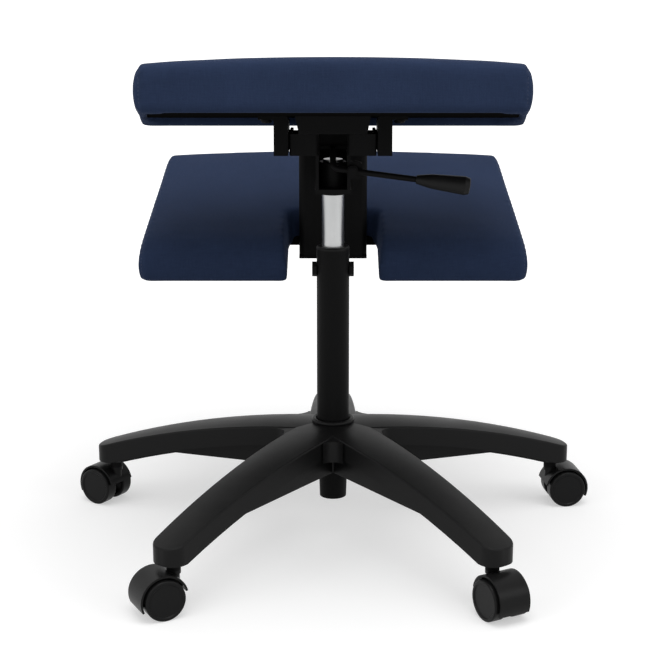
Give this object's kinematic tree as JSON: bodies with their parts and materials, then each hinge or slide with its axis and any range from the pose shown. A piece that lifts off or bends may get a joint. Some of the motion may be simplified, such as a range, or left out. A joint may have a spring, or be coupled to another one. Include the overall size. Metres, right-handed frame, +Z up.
{
  "type": "kneeling chair",
  "caption": "Kneeling chair with a forward-sloping padded seat, a notched padded shin rest, a gas lift with a release lever, and a star base on twin-wheel castors.",
  "frame": {"origin": "on the floor, on the column's axis", "axes": "+Z up, +Y the way the sitter faces, +X the sitter's right"},
  "size_m": [0.7103, 0.6826, 0.6439],
  "materials": {
    "base_nylon": "moulded, fine texture",
    "castor_nylon": "moulded, satin",
    "black_steel": "black powder coat",
    "zinc_steel": "zinc plated",
    "chrome_tube": "ground and chromed",
    "bush_plastic": "moulded",
    "grip_plastic": "moulded, matt",
    "button_plastic": "moulded",
    "plywood": "plywood, stained black",
    "navy_fabric": "woven upholstery over foam"
  },
  "bodies": {
    "base": {"star_base": "base_nylon", "stem_sleeves": "zinc_steel", "column_tube": "black_steel", "guide_bush": "bush_plastic", "bush_screws": "black_steel", "lower_race": "zinc_steel"},
    "gas_rod": {"piston_rod": "chrome_tube", "piston": "zinc_steel", "bearing_balls": "zinc_steel", "upper_race": "zinc_steel", "rod_clip": "zinc_steel"},
    "lever": {"lever_rod": "black_steel", "lever_grip": "grip_plastic"},
    "release_button": {"release_button": "button_plastic"},
    "castor_1": {"castor_stem_1": "black_steel", "castor_hood_1": "castor_nylon", "castor_axle_1": "zinc_steel"},
    "castor_1_wheel_left": {"castor_wheel_1_left": "castor_nylon"},
    "castor_1_wheel_right": {"castor_wheel_1_right": "castor_nylon"},
    "castor_2": {"castor_stem_2": "black_steel", "castor_hood_2": "castor_nylon", "castor_axle_2": "zinc_steel"},
    "castor_2_wheel_left": {"castor_wheel_2_left": "castor_nylon"},
    "castor_2_wheel_right": {"castor_wheel_2_right": "castor_nylon"},
    "castor_3": {"castor_stem_3": "black_steel", "castor_hood_3": "castor_nylon", "castor_axle_3": "zinc_steel"},
    "castor_3_wheel_left": {"castor_wheel_3_left": "castor_nylon"},
    "castor_3_wheel_right": {"castor_wheel_3_right": "castor_nylon"},
    "castor_4": {"castor_stem_4": "black_steel", "castor_hood_4": "castor_nylon", "castor_axle_4": "zinc_steel"},
    "castor_4_wheel_left": {"castor_wheel_4_left": "castor_nylon"},
    "castor_4_wheel_right": {"castor_wheel_4_right": "castor_nylon"},
    "castor_5": {"castor_stem_5": "black_steel", "castor_hood_5": "castor_nylon", "castor_axle_5": "zinc_steel"},
    "castor_5_wheel_left": {"castor_wheel_5_left": "castor_nylon"},
    "castor_5_wheel_right": {"castor_wheel_5_right": "castor_nylon"},
    "frame": {"cylinder_gland": "zinc_steel", "gas_cylinder": "chrome_tube", "head_bolts": "black_steel", "head_nuts": "black_steel", "head_washers": "black_steel", "knee_board": "plywood", "knee_cushion": "navy_fabric", "knee_hanger": "black_steel", "knee_screws": "black_steel", "knee_tee_nuts": "zinc_steel", "lever_pin": "black_steel", "mechanism_channel": "black_steel", "pivot_head": "black_steel", "seat_board": "plywood", "seat_bracket_left": "black_steel", "seat_bracket_right": "black_steel", "seat_cushion": "navy_fabric", "seat_saddle": "black_steel", "seat_screws": "black_steel", "seat_tee_nuts": "zinc_steel", "taper_socket": "black_steel"}
  },
  "joints": [
    {"name": "column_swivel", "type": "hinge", "parent": "base", "child": "gas_rod", "pos_m": [0, 0, 0.066], "axis": [0, 0, 1], "continuous": true},
    {"name": "seat_height", "type": "slide", "parent": "gas_rod", "child": "frame", "axis": [0, 0, 1], "range_m": [-0.06, 0.055]},
    {"name": "lever_lift", "type": "hinge", "parent": "frame", "child": "lever", "pos_m": [0.024, -0.0405, 0.48884], "axis": [0, -1, 0], "range_deg": [0, 7], "stiffness_Nm_per_rad": 6, "springref_deg": -2.86},
    {"name": "button_press", "type": "slide", "parent": "frame", "child": "release_button", "axis": [0, 0, -1], "range_m": [0, 0.0032], "stiffness_N_per_m": 20},
    {"name": "castor_1_swivel", "type": "hinge", "parent": "base", "child": "castor_1", "pos_m": [0, 0.318, 0.064], "axis": [0, 0, 1], "continuous": true},
    {"name": "castor_1_roll_left", "type": "hinge", "parent": "castor_1", "child": "castor_1_wheel_left", "pos_m": [0.00518, 0.33732, 0.025], "axis": [-0.9659, 0.2588, 0], "continuous": true},
    {"name": "castor_1_roll_right", "type": "hinge", "parent": "castor_1", "child": "castor_1_wheel_right", "pos_m": [0.00518, 0.33732, 0.025], "axis": [-0.9659, 0.2588, 0], "continuous": true},
    {"name": "castor_2_swivel", "type": "hinge", "parent": "base", "child": "castor_2", "pos_m": [-0.30244, 0.09827, 0.064], "axis": [0, 0, 1], "continuous": true},
    {"name": "castor_2_roll_left", "type": "hinge", "parent": "castor_2", "child": "castor_2_wheel_left", "pos_m": [-0.31921, 0.10916, 0.025], "axis": [-0.5446, -0.8387, 0], "continuous": true},
    {"name": "castor_2_roll_right", "type": "hinge", "parent": "castor_2", "child": "castor_2_wheel_right", "pos_m": [-0.31921, 0.10916, 0.025], "axis": [-0.5446, -0.8387, 0], "continuous": true},
    {"name": "castor_3_swivel", "type": "hinge", "parent": "base", "child": "castor_3", "pos_m": [-0.18692, -0.25727, 0.064], "axis": [0, 0, 1], "continuous": true},
    {"name": "castor_3_roll_left", "type": "hinge", "parent": "castor_3", "child": "castor_3_wheel_left", "pos_m": [-0.20458, -0.26666, 0.025], "axis": [0.4695, -0.8829, 0], "continuous": true},
    {"name": "castor_3_roll_right", "type": "hinge", "parent": "castor_3", "child": "castor_3_wheel_right", "pos_m": [-0.20458, -0.26666, 0.025], "axis": [0.4695, -0.8829, 0], "continuous": true},
    {"name": "castor_4_swivel", "type": "hinge", "parent": "base", "child": "castor_4", "pos_m": [0.18692, -0.25727, 0.064], "axis": [0, 0, 1], "continuous": true},
    {"name": "castor_4_roll_left", "type": "hinge", "parent": "castor_4", "child": "castor_4_wheel_left", "pos_m": [0.19631, -0.27493, 0.025], "axis": [0.8829, 0.4695, 0], "continuous": true},
    {"name": "castor_4_roll_right", "type": "hinge", "parent": "castor_4", "child": "castor_4_wheel_right", "pos_m": [0.19631, -0.27493, 0.025], "axis": [0.8829, 0.4695, 0], "continuous": true},
    {"name": "castor_5_swivel", "type": "hinge", "parent": "base", "child": "castor_5", "pos_m": [0.30244, 0.09827, 0.064], "axis": [0, 0, 1], "continuous": true},
    {"name": "castor_5_roll_left", "type": "hinge", "parent": "castor_5", "child": "castor_5_wheel_left", "pos_m": [0.32224, 0.10105, 0.025], "axis": [-0.1392, 0.9903, 0], "continuous": true},
    {"name": "castor_5_roll_right", "type": "hinge", "parent": "castor_5", "child": "castor_5_wheel_right", "pos_m": [0.32224, 0.10105, 0.025], "axis": [-0.1392, 0.9903, 0], "continuous": true}
  ],
  "couplings": [
    {"joint": "button_press", "follows": "lever_lift", "m_per_rad": 0.024}
  ]
}
